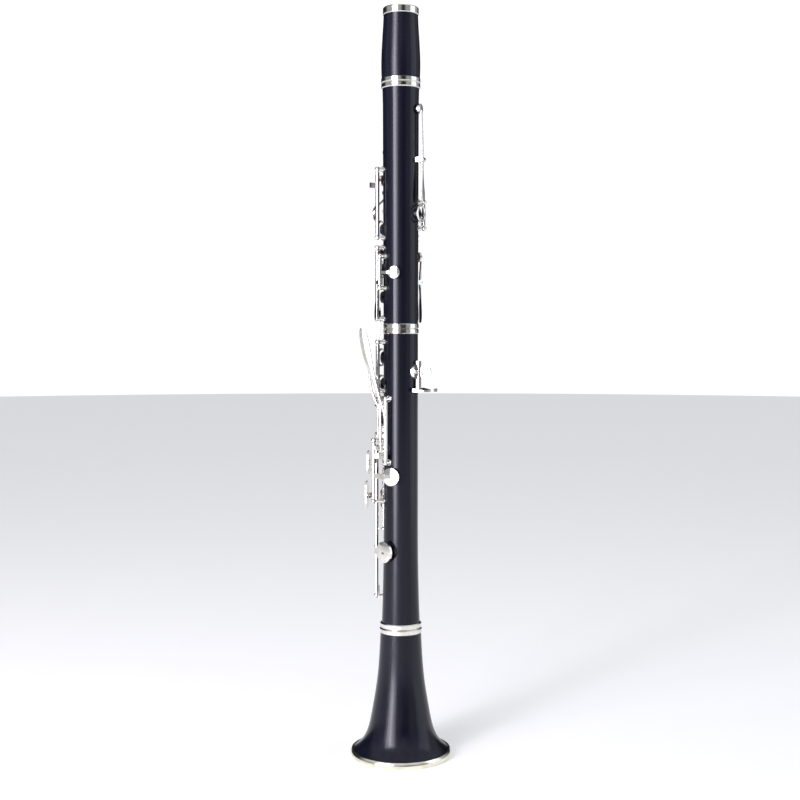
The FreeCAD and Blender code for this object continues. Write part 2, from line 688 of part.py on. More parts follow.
upper_corks = group("upper_tenon_corks", [
    cork("upper_foot_cork", "Dims.socket_r", "%s - %s + Dims.cork_land" % (UPPER_FOOT, TENON_LENGTH),
         UPPER_FOOT + " - Dims.cork_land"),
    cork("upper_head_cork", "Dims.socket_r", BARREL_FOOT + " + Dims.cork_land",
         "%s + %s - Dims.cork_land" % (BARREL_FOOT, TENON_LENGTH))])
lower_cork = cork("lower_tenon_cork", "Dims.bell_socket_r",
                  "%s - %s + Dims.cork_land" % (LOWER_FOOT, FOOT_TENON_LENGTH), LOWER_FOOT + " - Dims.cork_land")
doc.recompute()
nodes += [bell, rim_ring, bell_top_ring, barrel, lower_wood, upper_wood, barrel_rings, upper_rings, lower_rings,
          upper_corks, lower_cork]
upper_core = Part.makeCylinder(d.bore_r + 1, d.upper_length, Vector(0, 0, upper_foot))
upper_envelope = upper_turning.Shape.fuse(upper_core)
lower_core = Part.makeCylinder(d.bore_r + 1, d.lower_length, Vector(0, 0, lower_foot))
lower_envelope = lower_turning.Shape.fuse(lower_core)

# ---------------------------------------------------------------- upper joint keys

UB = upper_bed
LIFT = d.rod_lift
W = d.arm_width
closed_top = cup_top(UB)
upper_hinges = {}


def register_key():
    """Register key: a rocking lever down the back, its cup over the register tube."""
    hinge = Rocker(UB, LIFT, THUMB, up(133))
    upper_hinges["register_key"] = hinge
    arm_shape = lever([
        (UB + 5.6, THUMB, up(99.5), 3.2, 0.9), (UB + 5.5, THUMB, up(101), 5.2, 1.2),
        (UB + 5.2, THUMB, up(107), 6.6, 1.3), (UB + 4.8, THUMB, up(115), 5.0, 1.5),
        (UB + LIFT, THUMB, up(125), 3.0, 2.0), (UB + LIFT, THUMB, up(133), 2.8, 2.4),
        (UB + LIFT, THUMB, up(145), 2.6, 1.8), (closed_top + 0.3, THUMB, up(163), 2.6, 1.5),
        (closed_top + 0.2, THUMB, up(172), 2.6, 1.3)])
    key("register_key", hinge, [arm_shape], "register")


def throat_a_key():
    """Throat A key: rocks across its saddle, with a touch that bulges forward above the first ring."""
    hinge = Rocker(UB, LIFT, -116, up(109))
    upper_hinges["throat_a_key"] = hinge
    arm_shape = lever([
        (UB + 8.8, -90, up(86.5), 2.6, 0.8), (UB + 9.2, -90, up(88.5), 5.0, 1.2),
        (UB + 9.6, -91.5, up(93), 6.6, 1.4), (UB + 9.0, -97, up(97.5), 5.6, 1.5),
        (UB + 7.2, -108, up(101.5), 3.4, 1.7), (UB + 5.2, -116, up(106), 2.6, 2.0),
        (UB + LIFT, -116, up(109), 2.8, 2.4),
        (UB + LIFT, -116, up(122), 2.6, 1.8), (closed_top + 0.3, -116, up(134), 2.6, 1.4),
        (closed_top + 0.2, -116, up(140), 2.6, 1.3)])
    key("throat_a_key", hinge, [arm_shape], "throat_a")


def throat_gsharp_key():
    """Throat G sharp key: a long tube at the left of the front with a small touch that stands out."""
    hinge = Hinge(UB, LIFT, -57, up(72), up(126))
    upper_hinges["throat_gsharp_key"] = hinge
    r = hinge.r
    touch = arm(r + 0.8, -57, r + 6.2, -49, up(113), W + 1.0)
    reach = arm(r, -57, closed_top, -86, up(118), W)
    key("throat_gsharp_key", hinge, [touch], "throat_gsharp", reach)


def thumb_ring_key():
    """Thumb ring, with the arm that lifts the first ring key's tail as the thumb goes down."""
    hinge = Hinge(UB, LIFT, 125, up(79.5), up(100.5))
    upper_hinges["thumb_ring_key"] = hinge
    r = hinge.r
    ring_plane = UB + d.ring_key_lift
    link = arm(r, 125, ring_plane + 1.3, 112, up(90.5), W)
    step = turn(block(UB + 1.5, 1.4, up(90.5) - W / 2, up(90.5) + W / 2, r - UB - 1.5 - hole_in_tube), 125)
    finger = arm(UB + 1.6, 123, UB + 1.6, 158, up(90.5), W, 1.0)
    key("thumb_ring_key", hinge, [link, step, finger, ring_key_ring(UB, THUMB, up(90.5))])


def l1_ring_key():
    """First left finger's ring with its vent cup, and the tail that reaches round to the thumb key's arm."""
    hinge = Hinge(UB, LIFT, -134, up(69), up(101))
    upper_hinges["l1_ring_key"] = hinge
    r = hinge.r
    link = arm(r, -134, UB + d.ring_key_lift + 1.3, -113, up(79), W)
    reach = arm(r, -134, closed_top, -120, up(94), W)
    tail = arm(UB + 2.8, 228, UB + 2.8, 150, up(90.5), W, 1.0)
    key("l1_ring_key", hinge, [link, tail, ring_key_ring(UB, FRONT, up(79))], "l1_vent", reach, -d.l1_open)


def l2_ring_key():
    """Second left finger's ring with its vent cup, and the upper half of the bridge to the lower joint."""
    hinge = Hinge(UB, LIFT, -58, up(8), up(64))
    upper_hinges["l2_ring_key"] = hinge
    r = hinge.r
    link = arm(r, -58, UB + d.ring_key_lift + 1.3, -67, up(47), W)
    reach = arm(r, -58, closed_top, -80, up(60.5), W)
    bridge_r = lower_bed + 3.4
    bend = arm(r, -58, bridge_r, -77, up(13), W)
    lug = turn(block(bridge_r - 0.6, 1.8, upper_foot - 6.0, up(14), 1.2), -76)
    ring = ring_key_ring(UB, FRONT, up(47))
    key("l2_ring_key", hinge, [link, bend, lug, ring], "l2_vent", reach, d.l2_open)


def csharp_gsharp_key():
    """C sharp / G sharp key: a cup on the left side and a low touch for the little finger."""
    hinge = Hinge(UB, LIFT + 0.6, -33, up(32), up(57))
    upper_hinges["csharp_gsharp_key"] = hinge
    r = hinge.r
    reach = arm(r, -33, closed_top, -4, up(44), 2.2)
    bend = arm(r, -33, r + 0.9, -45, up(36.4), W)
    touch = lever([
        (r + 1.4, -45, up(5.5), 2.4, 0.8), (r + 1.6, -45, up(7), 4.6, 1.2), (r + 1.7, -45, up(12), 5.2, 1.4),
        (r + 1.5, -45, up(18), 4.4, 1.4), (r + 1.0, -45, up(24), 2.6, 1.5), (r + 0.9, -45, up(38), 2.4, 1.5)])
    key("csharp_gsharp_key", hinge, [bend, touch], "csharp_gsharp", reach)


def eflat_sliver_key():
    """Left ring finger's sliver key, between the second and third holes."""
    hinge = Hinge(UB, LIFT - 0.6, -130, up(27), up(45))
    upper_hinges["eflat_sliver_key"] = hinge
    r = hinge.r
    reach = arm(r, -130, closed_top, -145, up(36), W)
    touch = arm(r, -130, UB + 4.6, -110, up(35.5), 5.0)
    key("eflat_sliver_key", hinge, [touch], "eflat_sliver", reach)


def side_trill_key(number, angle, pivot, cup_height, hole_name, over):
    """A side trill key: a slim rocking lever on the right; over lifts the ones that pass the ring tails."""
    hinge = Rocker(UB, LIFT, angle, up(pivot))
    upper_hinges["side_trill_key_%d" % number] = hinge
    cup_angle = HOLES[hole_name][1]
    touch_r = UB + (6.2 if over else 5.1)
    stations = [
        (touch_r - 0.2, angle, up(4.6), 2.0, 0.8), (touch_r, angle, up(6), 3.4, 1.2),
        (touch_r + 0.1, angle, up(12), 3.8, 1.3), (touch_r - 0.1, angle, up(20), 3.3, 1.4),
        (UB + LIFT + 0.3, angle, up(27), 2.2, 1.5), (UB + LIFT, angle, up(pivot), 2.4, 2.2)]
    if over:
        stations.append((UB + LIFT + 1.8, angle, up(83), 2.2, 1.5))
        stations.append((UB + LIFT + 1.8, angle, up(99), 2.2, 1.5))
        stations.append((UB + LIFT, angle + (cup_angle - angle) * 0.5, up(cup_height - 16), 2.2, 1.5))
    stations.append((closed_top + 0.4, cup_angle, up(cup_height - 5), 2.2, 1.4))
    stations.append((closed_top + 0.2, cup_angle, up(cup_height), 2.2, 1.2))
    key("side_trill_key_%d" % number, hinge, [lever(stations)], hole_name)


register_key()
throat_a_key()
throat_gsharp_key()
thumb_ring_key()
l1_ring_key()
l2_ring_key()
csharp_gsharp_key()
eflat_sliver_key()
side_trill_key(1, 149.5, 37, 57, "side_trill_1", False)
side_trill_key(2, 162.5, 45, 72, "side_trill_2", False)
side_trill_key(3, 175.5, 61, 143, "side_trill_3", True)
side_trill_key(4, 188.5, 69, 158, "side_trill_4", True)

# ---------------------------------------------------------------- lower joint keys

LB = lower_bed
low_closed = cup_top(LB)
lower_hinges = {}


def lower_ring_key():
    """The right hand's three finger rings on one tube, with the lower half of the bridge."""
    hinge = Hinge(LB, LIFT + 0.5, -50, low(187), low(225.5))
    lower_hinges["lower_ring_key"] = hinge
    r = hinge.r
    plane = LB + d.ring_key_lift + 1.3
    links = [arm(r, -50, plane, -67, low(212), W), arm(r, -50, plane, -67, low(193), W)]
    side_bar = turn(block(LB + d.ring_key_lift - 0.6, 1.1, low(165), low(192), d.arm_thick), -67.5)
    bridge_r = LB + 3.4 + 1.5
    shoulder = arm(r, -50, bridge_r, -77, low(219.5), W)
    lug = turn(block(bridge_r - 0.6, 1.8, low(218), upper_foot - 1.0, 1.2), -76)
    rings = [ring_key_ring(LB, FRONT, low(h)) for h in (213, 192, 165)]
    key("lower_ring_key", hinge, links + rings + [side_bar, shoulder, lug])


def b_fsharp_sliver_key():
    """Right ring finger's sliver key, between the second and third rings."""
    hinge = Hinge(LB, LIFT - 0.4, -134, low(169.5), low(187.5))
    lower_hinges["b_fsharp_sliver_key"] = hinge
    r = hinge.r
    reach = arm(r, -134, low_closed, -151, low(178.5), W)
    touch = arm(r, -134, LB + 4.9, -112, low(178.5), 4.4)
    key("b_fsharp_sliver_key", hinge, [touch], "b_fsharp_sliver", reach)


def gsharp_dsharp_key():
    """G sharp / D sharp key for the right little finger; its pad rests closed."""
    hinge = Hinge(LB, LIFT + 0.3, -152, low(101), low(137))
    lower_hinges["gsharp_dsharp_key"] = hinge
    r = hinge.r
    reach = arm(r, -152, low_closed, -168, low(121), W)
    stalk = arm(r, -152, LB + 10.6, -134, low(122), W + 1)
    touch = paddle(LB + 10.4, -128, low(113), low(131), 9.0)
    key("gsharp_dsharp_key", hinge, [stalk, touch], "gsharp_dsharp", reach)


def f_c_key():
    """F / C key: its large pad stands open; the tail is lifted by the left hand's lever."""
    hinge = Hinge(LB, 6.4, -112, low(75), low(158))
    lower_hinges["f_c_key"] = hinge
    r = hinge.r
    reach = arm(r, -112, low_closed, -135, low(85), 5.0)
    stalk = arm(r, -112, LB + 11.6, -122, low(99), W + 1)
    touch = paddle(LB + 11.0, -125, low(90), low(108), 9.0)
    tail = arm(r + 0.35, -112, LB + 6.75, -50, low(151.8), W, 1.0)
    key("f_c_key", hinge, [stalk, touch, tail], "f_c", reach, d.f_c_open)


def fsharp_csharp_key():
    """F sharp / C sharp key: a closed pad on the left, a touch at the front and a tail for the left lever."""
    hinge = Hinge(LB, 7.9, -62, low(99.6), low(147.6))
    lower_hinges["fsharp_csharp_key"] = hinge
    r = hinge.r
    reach = arm(r, -62, low_closed, -18, low(120), 4.0)
    stalk = arm(r, -62, LB + 12.6, -74, low(130), W + 1)
    touch = paddle(LB + 12.2, -80, low(120), low(139), 10.0)
    tail = arm(r - 0.9, -62, LB + 7.0, -33, low(142), W, 1.0)
    key("fsharp_csharp_key", hinge, [stalk, touch, tail], "fsharp_csharp", reach)


def e_b_key():
    """E / B key: the lowest and largest pad stands open; a short tail runs under the left hand's lever."""
    hinge = Hinge(LB, 7.4, -88, low(23), low(141.6))
    lower_hinges["e_b_key"] = hinge
    r = hinge.r
    reach = arm(r, -88, low_closed + 0.2, -38, low(61), 5.2)
    stalk = arm(r, -88, LB + 13.4, -80, low(103), W + 1)
    touch = paddle(LB + 13.2, -76, low(93), low(115), 10.0)
    drop = turn(block(LB + 3.4, 1.4, low(135) - W / 2, low(135) + W / 2, r - LB - 3.4 - hole_in_tube), -88)
    tail = arm(LB + 3.9, -90, LB + 3.9, -67, low(135), W, 1.0)
    key("e_b_key", hinge, [stalk, touch, drop, tail], "e_b", reach, -d.e_b_open)


def lh_e_b_lever():
    """Left little finger's inner lever: a spatula high on the left, a tube, and an arm over the E / B key's tail."""
    hinge = Hinge(LB, 4.5, -16, low(131), low(181))
    lower_hinges["lh_e_b_lever"] = hinge
    spatula = lever([
        (LB + 19.2, -42, low(236.5), 2.4, 0.8, 40), (LB + 18.9, -42, low(234.5), 5.4, 1.2, 40),
        (LB + 17.6, -41, low(226), 7.8, 1.4, 40), (LB + 15.2, -38, low(212), 7.2, 1.5, 36),
        (LB + 12.2, -33, low(198), 4.4, 1.6, 26), (LB + 9.0, -26, low(184), 2.8, 1.8, 12),
        (LB + 7.4, -22, low(177), 2.6, 1.9, 4), (LB + 5.6, -17.5, low(170), 2.6, 2.0, 0),
        (LB + 5.0, -16, low(164), 2.6, 2.0, 0)])
    cross = arm(hinge.r, -16, LB + 5.4, -72, low(135), W, 1.0)
    key("lh_e_b_lever", hinge, [spatula, cross])


def lh_fsharp_csharp_lever():
    """Left little finger's outer lever: rocks on its saddle and lifts the F sharp / C sharp key's tail."""
    hinge = Rocker(LB, LIFT + 0.6, -36, low(181))
    lower_hinges["lh_fsharp_csharp_lever"] = hinge
    r = hinge.r
    blade = lever([
        (LB + 18.6, -57, low(233), 2.4, 0.8), (LB + 18.3, -57, low(231), 4.8, 1.2),
        (LB + 16.6, -56, low(223), 5.2, 1.4), (LB + 11.8, -49, low(205), 3.4, 1.6),
        (r + 2.8, -40, low(190), 2.6, 1.8), (r, -36, low(181), 2.8, 2.4),
        (r - 0.3, -36, low(168), 2.4, 1.8), (r - 0.4, -36, low(150), 2.4, 1.5),
        (r - 0.4, -36, low(139.8), 2.2, 1.2)])
    key("lh_fsharp_csharp_lever", hinge, [blade])


def lh_f_c_lever():
    """Left little finger's middle lever: rocks on its saddle and lifts the F / C key's tail."""
    hinge = Rocker(LB, LIFT + 0.6, -52, low(175))
    lower_hinges["lh_f_c_lever"] = hinge
    r = hinge.r
    blade = lever([
        (LB + 13.4, -69, low(222), 2.4, 0.8), (LB + 13.2, -69, low(220), 4.4, 1.2),
        (LB + 12.4, -67, low(210), 4.8, 1.4), (LB + 11.0, -62.5, low(197), 2.8, 1.6),
        (LB + 9.4, -57, low(186), 2.6, 1.8), (r, -52, low(175), 2.8, 2.4),
        (r - 0.2, -52, low(164), 2.4, 1.6), (r - 0.3, -52, low(150), 2.2, 1.2)])
    key("lh_f_c_lever", hinge, [blade])


lower_ring_key()
b_fsharp_sliver_key()
gsharp_dsharp_key()
f_c_key()
fsharp_csharp_key()
e_b_key()
lh_e_b_lever()
lh_fsharp_csharp_lever()
lh_f_c_lever()

# ---------------------------------------------------------------- posts, rods and springs


def hinge_hardware(prefix, hinges, wood):
    """The posts and saddles, the steel rods and pins in them, and the needle springs."""
    posts = []
    for hinge in hinges.values():
        posts += hinge.posts(wood)
    shape_node(prefix + "_posts", Part.makeCompound(posts))
    shape_node(prefix + "_hinge_rods", Part.makeCompound([hinge.rod() for hinge in hinges.values()]))
    springs = [hinge.spring() for hinge in hinges.values() if isinstance(hinge, Hinge)]
    shape_node(prefix + "_needle_springs", Part.makeCompound(springs))


hinge_hardware("upper", upper_hinges, upper_wood.Shape.fuse(upper_envelope))
hinge_hardware("lower", lower_hinges, lower_wood.Shape.fuse(lower_envelope))

# ---------------------------------------------------------------- register and thumb tubes


def lining_tube(label, name, lift):
    """A metal tube that lines a hole through the wood and stands out to its rim."""
    bed, angle, height, hole_r = HOLES[name]
    inner = Part.makeCylinder(hole_r - 0.6, 40, Vector(0, 0, height), Vector(1, 0, 0))
    outer = Part.makeCylinder(hole_r - d.ring_seat_gap, bed + lift - d.bore_r - 0.4,
                              Vector(d.bore_r + 0.4, 0, height), Vector(1, 0, 0))
    return shape_node(label, turn(outer.cut(inner), angle))


lining_tube("register_tube", "register", d.seat_lift)
lining_tube("thumb_tube", "thumb", d.chimney_lift + 0.3)

# ---------------------------------------------------------------- thumb rest


def thumb_rest():
    """Thumb rest: a screwed plate, a hook that slides on it, and a ring for a neck strap."""
    mid_z = low(d.thumb_rest_height)
    plate_r = LB + d.thumb_plate_thick
    plate = Part.makeCylinder(d.thumb_plate_r, plate_r - LB + 3, Vector(LB - 3, 0, mid_z), Vector(1, 0, 0))
    screws = [Part.makeSphere(1.6, Vector(plate_r - 0.6, side * 4.6, mid_z)) for side in (-1, 1)]
    shape_node("thumb_rest_plate", turn(fuse([plate] + screws), THUMB).cut(lower_envelope))

    bar_low = mid_z - 15.5
    bar = block(plate_r, 2.6, bar_low, mid_z + 8.5, 2.0)
    tongue = Part.makeBox(d.hook_reach + LB - plate_r, d.hook_width, d.hook_thick,
                          Vector(plate_r, -d.hook_width / 2, bar_low))
    corners = [e for e in tongue.Edges if abs(e.CenterOfMass.x - LB - d.hook_reach) < 0.01
               and abs(e.CenterOfMass.y) > 1]
    tongue = tongue.makeFillet(d.hook_width * 0.42, corners)
    hollow = Part.makeCylinder(24, d.hook_width + 2, Vector(LB + d.hook_reach / 2 + 1, -d.hook_width / 2 - 1,
                                                          bar_low + d.hook_thick + 23), Vector(0, 1, 0))
    shape_node("thumb_rest_hook", turn(bar.fuse(tongue.cut(hollow)), THUMB))

    ring_outer = d.strap_hole_r + d.strap_ring_wall
    ring_r = plate_r + 2.0 + ring_outer
    half = d.strap_ring_width / 2
    disc = Part.makeCylinder(ring_outer, 2 * half, Vector(ring_r, -half, mid_z), Vector(0, 1, 0))
    saddle_block = block(plate_r + 2.0, half, mid_z - 3, mid_z + 3, 1.3)
    hole = Part.makeCylinder(d.strap_hole_r, 4 * half, Vector(ring_r, -2 * half, mid_z), Vector(0, 1, 0))
    shape_node("strap_ring", turn(disc.fuse(saddle_block).cut(hole), THUMB))


thumb_rest()

# ---------------------------------------------------------------- check and write

doc.recompute()
for item in doc.Objects:
    if "Invalid" in item.State or "Error" in item.State:
        raise RuntimeError("%s failed to build" % item.Name)
os.makedirs("parts", exist_ok=True)
for node in nodes:
    if node.Shape.isNull() or not node.Shape.isValid():
        raise RuntimeError("%s has no valid shape" % node.Label)
    node.Shape.exportStep("parts/%s.step" % node.Label)
print("%d nodes written" % len(nodes))
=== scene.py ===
import json
import math

import bmesh
import bpy
from mathutils import Matrix, Vector


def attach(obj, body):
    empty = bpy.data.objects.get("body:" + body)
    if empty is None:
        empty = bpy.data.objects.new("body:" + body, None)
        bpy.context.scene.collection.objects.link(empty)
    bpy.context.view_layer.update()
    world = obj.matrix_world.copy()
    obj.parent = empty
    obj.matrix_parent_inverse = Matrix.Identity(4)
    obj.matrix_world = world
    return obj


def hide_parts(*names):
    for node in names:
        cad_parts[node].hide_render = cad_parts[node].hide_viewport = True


# A B flat clarinet in grenadilla wood with silver plated keys, standing on its bell in a soft light tent.
# Metres. The finger holes face -Y, the thumb hole +Y and the player's left hand side is +X.

MM = 0.001

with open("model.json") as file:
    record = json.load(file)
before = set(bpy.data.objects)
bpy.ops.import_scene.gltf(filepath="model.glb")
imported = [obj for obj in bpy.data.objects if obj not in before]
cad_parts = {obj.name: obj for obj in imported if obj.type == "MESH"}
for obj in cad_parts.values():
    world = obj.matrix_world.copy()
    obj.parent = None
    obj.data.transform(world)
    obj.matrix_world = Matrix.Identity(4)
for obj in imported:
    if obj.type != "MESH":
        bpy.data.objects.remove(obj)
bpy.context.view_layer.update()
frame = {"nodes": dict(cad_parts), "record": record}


# ---------------------------------------------------------------- colours and nodes


def colour(hex_code):
    """An sRGB hex colour as linear RGBA."""
    channels = [int(hex_code[i:i + 2], 16) / 255 for i in (1, 3, 5)]
    linear = [c / 12.92 if c <= 0.04045 else ((c + 0.055) / 1.055) ** 2.4 for c in channels]
    return (*linear, 1.0)


def add(tree, kind, settings=None, links=None):
    """Adds a node: settings are its own properties or its inputs' values, links are what feeds its inputs."""
    node = tree.nodes.new(kind)
    for name, value in (settings or {}).items():
        if isinstance(name, str) and hasattr(node, name):
            setattr(node, name, value)
        else:
            node.inputs[name].default_value = value
    for name, source in (links or {}).items():
        tree.links.new(source, node.inputs[name])
    return node


def new_material(name):
    """An empty node material, its tree and its object coordinates."""
    material = bpy.data.materials.new(name)
    material.use_nodes = True
    tree = material.node_tree
    tree.nodes.clear()
    place = add(tree, "ShaderNodeTexCoord")
    return material, tree, place.outputs["Object"]


def finish_material(tree, settings, links):
    """The surface shader and the material's output."""
    surface = add(tree, "ShaderNodeBsdfPrincipled", settings, links)
    add(tree, "ShaderNodeOutputMaterial", links={"Surface": surface.outputs["BSDF"]})


# ---------------------------------------------------------------- materials


def polished_grenadilla():
    """African blackwood, turned, oiled and buffed: nearly black with a violet cast.

    Its grain runs up the bore. The pores are 0.05 mm wide in the real wood; here they are drawn 0.5 mm wide
    and 16 mm long so that they show, and the slow change of tone is 5 mm wide.
    """
    material, tree, place = new_material("grenadilla wood, oiled and polished")
    along = add(tree, "ShaderNodeMapping", {"Scale": (1, 1, 0.03)}, {"Vector": place})
    tone = add(tree, "ShaderNodeTexNoise", {"Scale": 1 / (5 * MM), "Detail": 3.0, "Roughness": 0.55},
               {"Vector": along.outputs["Vector"]})
    pores = add(tree, "ShaderNodeTexNoise", {"Scale": 1 / (0.5 * MM), "Detail": 4.0, "Roughness": 0.7},
                {"Vector": along.outputs["Vector"]})
    tone_ramp = add(tree, "ShaderNodeMapRange", {"From Min": 0.35, "From Max": 0.68},
                    {"Value": tone.outputs["Fac"]})
    pore_ramp = add(tree, "ShaderNodeMapRange", {"From Min": 0.52, "From Max": 0.74},
                    {"Value": pores.outputs["Fac"]})
    heartwood = add(tree, "ShaderNodeMix", {"data_type": "RGBA", 6: colour("#080913"), 7: colour("#12131f")},
                    {0: tone_ramp.outputs["Result"]})
    grained = add(tree, "ShaderNodeMix", {"data_type": "RGBA", 7: colour("#0b0a10")},
                  {0: pore_ramp.outputs["Result"], 6: heartwood.outputs[2]})
    gloss = add(tree, "ShaderNodeMapRange", {"To Min": 0.16, "To Max": 0.27}, {"Value": pores.outputs["Fac"]})
    relief = add(tree, "ShaderNodeBump", {"Strength": 0.12, "Distance": 0.04 * MM},
                 {"Height": pores.outputs["Fac"]})
    finish_material(tree, {"IOR": 1.5, "Specular IOR Level": 0.28},
                    {"Base Color": grained.outputs[2], "Roughness": gloss.outputs["Result"],
                     "Normal": relief.outputs["Normal"]})
    return material


def plated_metal(name, bright, dull, low_gloss, high_gloss):
    """Silver plate over nickel silver, buffed: a bright mirror with faint clouding 6 mm across.

    The buffing lines, 0.02 mm in the real plate, are drawn 0.3 mm apart and barely raised.
    """
    material, tree, place = new_material(name)
    cloud = add(tree, "ShaderNodeTexNoise", {"Scale": 1 / (6 * MM), "Detail": 4.0, "Roughness": 0.6},
                {"Vector": place})
    haze = add(tree, "ShaderNodeMapRange", {"From Min": 0.42, "From Max": 0.72},
               {"Value": cloud.outputs["Fac"]})
    tint = add(tree, "ShaderNodeMix", {"data_type": "RGBA", 6: colour(bright), 7: colour(dull)},
               {0: haze.outputs["Result"]})
    buffing = add(tree, "ShaderNodeTexNoise", {"Scale": 1 / (0.3 * MM), "Detail": 2.0}, {"Vector": place})
    gloss = add(tree, "ShaderNodeMapRange", {"To Min": low_gloss, "To Max": high_gloss},
                {"Value": cloud.outputs["Fac"]})
    relief = add(tree, "ShaderNodeBump", {"Strength": 0.04, "Distance": 0.01 * MM},
                 {"Height": buffing.outputs["Fac"]})
    finish_material(tree, {"Metallic": 1.0},
                    {"Base Color": tint.outputs[2], "Roughness": gloss.outputs["Result"],
                     "Normal": relief.outputs["Normal"]})
    return material


def waxed_cork():
    """Sheet cork, sanded and greased: tan cells about 1 mm across with dark flecks between them."""
    material, tree, place = new_material("tenon cork, sanded and greased")
    cells = add(tree, "ShaderNodeTexVoronoi", {"Scale": 1 / (1.1 * MM), "Randomness": 1.0}, {"Vector": place})
    flecks = add(tree, "ShaderNodeTexNoise", {"Scale": 1 / (0.9 * MM), "Detail": 3.0}, {"Vector": place})
    dark = add(tree, "ShaderNodeMapRange", {"From Min": 0.58, "From Max": 0.70},
               {"Value": flecks.outputs["Fac"]})
    cell_tone = add(tree, "ShaderNodeMix", {"data_type": "RGBA", 6: colour("#b8895a"), 7: colour("#a37446")},
                    {0: cells.outputs["Distance"]})
    tone = add(tree, "ShaderNodeMix", {"data_type": "RGBA", 7: colour("#5d3a22")},
               {0: dark.outputs["Result"], 6: cell_tone.outputs[2]})
    relief = add(tree, "ShaderNodeBump", {"Strength": 0.4, "Distance": 0.1 * MM},
                 {"Height": cells.outputs["Distance"]})
    finish_material(tree, {"Roughness": 0.62},
                    {"Base Color": tone.outputs[2], "Normal": relief.outputs["Normal"]})
    return material


def ground_steel(name, bright, dull, gloss):
    """Ground steel rod: fine rings left by the wheel, drawn 0.25 mm apart."""
    material, tree, place = new_material(name)
    rings = add(tree, "ShaderNodeTexNoise", {"Scale": 1 / (0.25 * MM), "Detail": 2.0}, {"Vector": place})
    tint = add(tree, "ShaderNodeMix", {"data_type": "RGBA", 6: colour(bright), 7: colour(dull)},
               {0: rings.outputs["Fac"]})
    relief = add(tree, "ShaderNodeBump", {"Strength": 0.08, "Distance": 0.01 * MM},
                 {"Height": rings.outputs["Fac"]})
    finish_material(tree, {"Metallic": 1.0, "Roughness": gloss},
                    {"Base Color": tint.outputs[2], "Normal": relief.outputs["Normal"]})
    return material


def bladder_skin():
    """Fish skin stretched over felt: reddish tan, slightly glossy, with fine wrinkles drawn 0.7 mm apart."""
    material, tree, place = new_material("pad skin over felt")
    wrinkles = add(tree, "ShaderNodeTexNoise", {"Scale": 1 / (0.7 * MM), "Detail": 4.0, "Roughness": 0.65},
                   {"Vector": place})
    stains = add(tree, "ShaderNodeTexNoise", {"Scale": 1 / (3 * MM), "Detail": 2.0}, {"Vector": place})
    tint = add(tree, "ShaderNodeMix", {"data_type": "RGBA", 6: colour("#a8644a"), 7: colour("#7c4130")},
               {0: stains.outputs["Fac"]})
    relief = add(tree, "ShaderNodeBump", {"Strength": 0.35, "Distance": 0.06 * MM},
                 {"Height": wrinkles.outputs["Fac"]})
    finish_material(tree, {"Roughness": 0.42, "Subsurface Weight": 0.15, "Subsurface Scale": 0.6 * MM,
                           "Coat Weight": 0.2, "Coat Roughness": 0.3},
                    {"Base Color": tint.outputs[2], "Normal": relief.outputs["Normal"]})
    return material


wood = polished_grenadilla()
key_silver = plated_metal("key work, silver plate", "#eeece6", "#d2cec4", 0.06, 0.13)
ring_silver = plated_metal("joint rings, silver plate", "#ebe9e2", "#d2cfc4", 0.08, 0.16)
rim_silver = plated_metal("bell rim ring, warm silver plate", "#e9e6d6", "#d3ceb8", 0.12, 0.22)
cork = waxed_cork()
rod_steel = ground_steel("hinge rods, ground steel", "#cfd1d4", "#a9acb2", 0.24)
blue_steel = ground_steel("needle springs, blued steel", "#3c4a78", "#232c50", 0.28)
skin = bladder_skin()

BY_SLOT = {"grenadilla": wood, "silver_plate": key_silver, "cork": cork, "rod_steel": rod_steel,
           "blued_steel": blue_steel, "pad_skin": skin}

for part in frame["record"]["subparts"]:
    node = frame["nodes"][part["node"]]
    node.data.materials.clear()
    node.data.materials.append(BY_SLOT[part["material_slot"]])
for name in ("bell_top_ring", "lower_joint_rings", "upper_joint_rings", "barrel_rings"):
    frame["nodes"][name].data.materials[0] = ring_silver
frame["nodes"]["bell_rim_ring"].data.materials[0] = rim_silver


# ---------------------------------------------------------------- making pieces


def deselect_all():
    if bpy.context.mode != "OBJECT":
        bpy.ops.object.mode_set(mode="OBJECT")
    bpy.ops.object.select_all(action="DESELECT")


def named(name, material):
    """Names the piece just made and gives it its finish."""
    piece = bpy.context.object
    piece.name = name
    piece.data.name = name
    piece.data.materials.clear()
    piece.data.materials.append(material)
    return piece


def select_faces(piece, wanted):
    """Selects, in edit mode, only the faces that wanted(face) picks."""
    bpy.ops.mesh.select_mode(type="FACE")
    mesh = bmesh.from_edit_mesh(piece.data)
    for face in mesh.faces:
        face.select_set(False)
    for face in mesh.faces:
        if wanted(face):
            face.select_set(True)
    bmesh.update_edit_mesh(piece.data)


def copy_to(master, name, matrix, material):
    """A copy of a finished piece with its own mesh, its place in the mesh."""
    piece = master.copy()
    piece.data = master.data.copy()
    piece.name = name
    piece.data.name = name
    piece.data.transform(matrix)
    piece.data.materials.clear()
    piece.data.materials.append(material)
    bpy.context.scene.collection.objects.link(piece)
    return piece


def drop(piece):
    """Removes a master once its copies are made."""
    mesh = piece.data
    bpy.data.objects.remove(piece)
    bpy.data.meshes.remove(mesh)


def looking(axis):
    """The turn that takes +Z to the axis."""
    return axis.to_track_quat("Z", "Y").to_matrix().to_4x4()


def centre_of(points):
    return sum(points, Vector()) / len(points)


